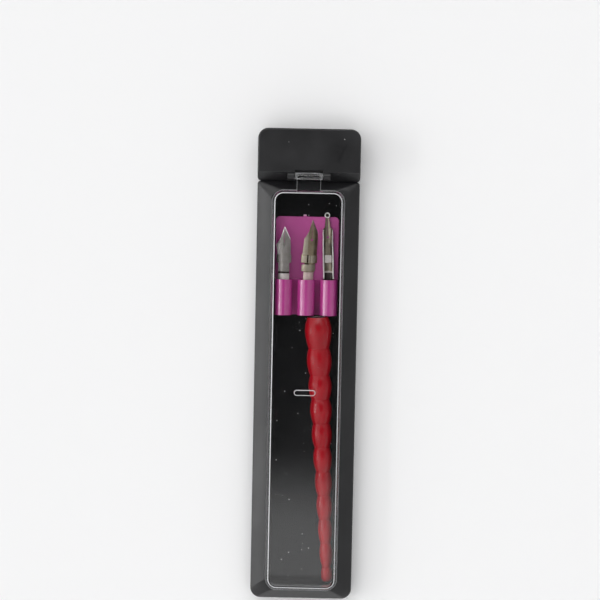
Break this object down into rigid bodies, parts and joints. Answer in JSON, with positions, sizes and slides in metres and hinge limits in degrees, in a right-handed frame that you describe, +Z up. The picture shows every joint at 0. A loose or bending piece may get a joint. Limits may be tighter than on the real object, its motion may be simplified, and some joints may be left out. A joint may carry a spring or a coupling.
{
  "type": "calligraphy set box",
  "caption": "Flat black plastic box with a clear hinged lid, holding a beaded pen holder and a rack of dip pen nibs with ink reservoirs.",
  "frame": {"origin": "centre of the underside, on the surface the box lies on", "axes": "+Z up through the lid, +Y along the box towards the end cap and hinge, +X to the right seen from above"},
  "size_m": [0.045, 0.2088, 0.0167],
  "materials": {
    "black_plastic": "satin moulded",
    "clear_plastic": "clear polished",
    "purple_plastic": "gloss moulded",
    "red_plastic": "gloss moulded",
    "nib_steel": "bright",
    "nib_nickel": "warm bright",
    "holder_steel": "satin"
  },
  "bodies": {
    "base": {"tray": "black_plastic", "end_cap": "black_plastic", "nib_rack": "purple_plastic"},
    "lid": {"lid": "clear_plastic"},
    "oblique_nib": {"nib_oblique": "nib_steel", "reservoir_oblique": "nib_steel"},
    "pointed_nib": {"nib_pointed": "nib_nickel", "reservoir_pointed": "nib_nickel"},
    "disc_nib": {"nib_disc": "nib_steel", "reservoir_disc": "nib_steel"},
    "pen": {"pen_holder": "red_plastic", "ferrule": "holder_steel", "nib_clamp": "holder_steel"}
  },
  "joints": [
    {"name": "lid_hinge", "type": "hinge", "parent": "base", "child": "lid", "pos_m": [0, 0.0836, 0.0105], "axis": [-1, 0, 0], "range_deg": [0, 115]},
    {"name": "oblique_nib_pull", "type": "slide", "parent": "base", "child": "oblique_nib", "axis": [0, 1, 0], "range_m": [0, 0.0075]},
    {"name": "pointed_nib_pull", "type": "slide", "parent": "base", "child": "pointed_nib", "axis": [0.0523, 0.9986, 0], "range_m": [0, 0.0075]},
    {"name": "disc_nib_pull", "type": "slide", "parent": "base", "child": "disc_nib", "axis": [-0.0384, 0.9993, 0], "range_m": [0, 0.0075]},
    {"name": "pen_roll", "type": "slide", "parent": "base", "child": "pen", "axis": [1, 0, 0], "range_m": [-0.012, 0.0003]}
  ]
}
